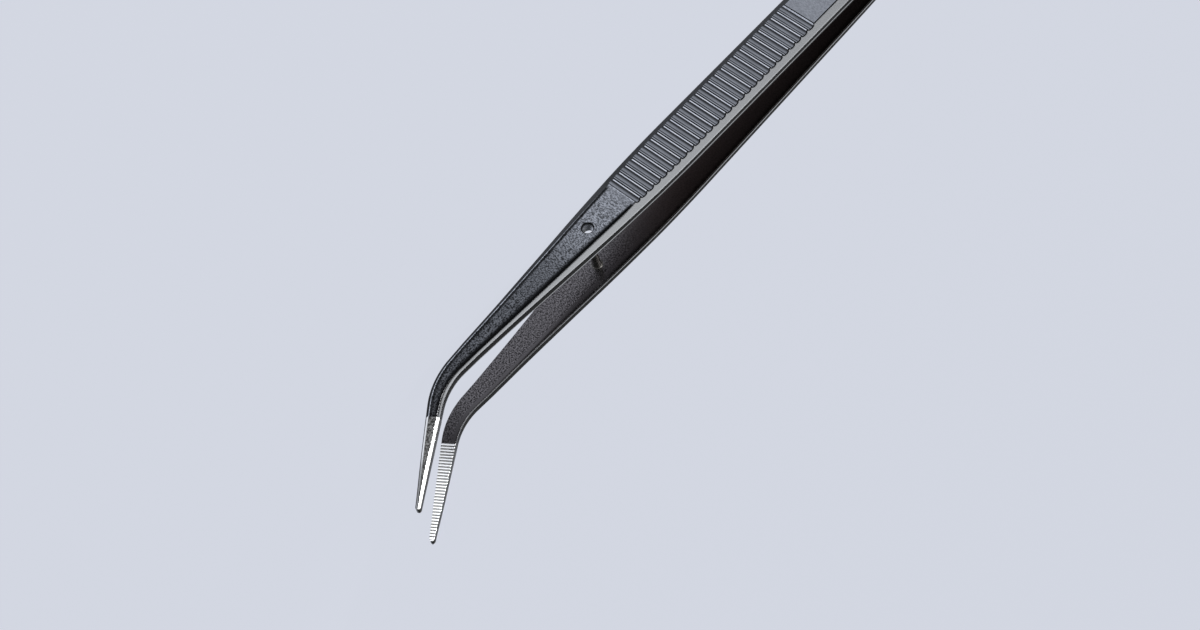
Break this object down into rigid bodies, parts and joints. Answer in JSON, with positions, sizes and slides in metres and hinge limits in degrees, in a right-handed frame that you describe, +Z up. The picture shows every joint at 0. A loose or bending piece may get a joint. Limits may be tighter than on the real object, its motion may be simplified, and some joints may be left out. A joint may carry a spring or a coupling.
{
  "type": "angled precision tweezers",
  "caption": "Spring tweezers with bent serrated tips, grooved finger grips, a guide hole in one arm and a tapered guide pin on the other.",
  "frame": {"origin": "on the surface that the tweezers lie on, below the centre of their bounding box", "axes": "+X from the welded rear end to the tips, +Y from the arm with the guide hole to the arm with the guide pin, +Z up, the way the bent tips point"},
  "size_m": [0.155, 0.0136, 0.0158],
  "materials": {
    "black_coating": "fine-grained matte charcoal powder coating",
    "bare_steel": "ground and polished stainless steel",
    "dark_pin": "satin, coated with the arm",
    "weld_steel": "as welded, hidden inside the joint"
  },
  "bodies": {
    "rear_joint": {"hole_arm_tail": "black_coating", "pin_arm_tail": "black_coating", "spot_welds": "weld_steel"},
    "hole_side": {"hole_arm": "black_coating", "hole_arm_tip": "bare_steel"},
    "pin_side": {"pin_arm": "black_coating", "pin_arm_tip": "bare_steel", "guide_pin": "dark_pin"}
  },
  "joints": [
    {"name": "hole_side_flex", "type": "hinge", "parent": "rear_joint", "child": "hole_side", "pos_m": [-0.0575, -0.00171, 0.0042], "axis": [0, 0, 1], "range_deg": [0, 2.04], "stiffness_Nm_per_rad": 6},
    {"name": "pin_side_flex", "type": "hinge", "parent": "rear_joint", "child": "pin_side", "pos_m": [-0.0575, 0.00171, 0.0042], "axis": [0, 0, 1], "range_deg": [-2.04, 0], "stiffness_Nm_per_rad": 6}
  ],
  "couplings": [
    {"joint": "pin_side_flex", "follows": "hole_side_flex", "ratio": -1}
  ]
}
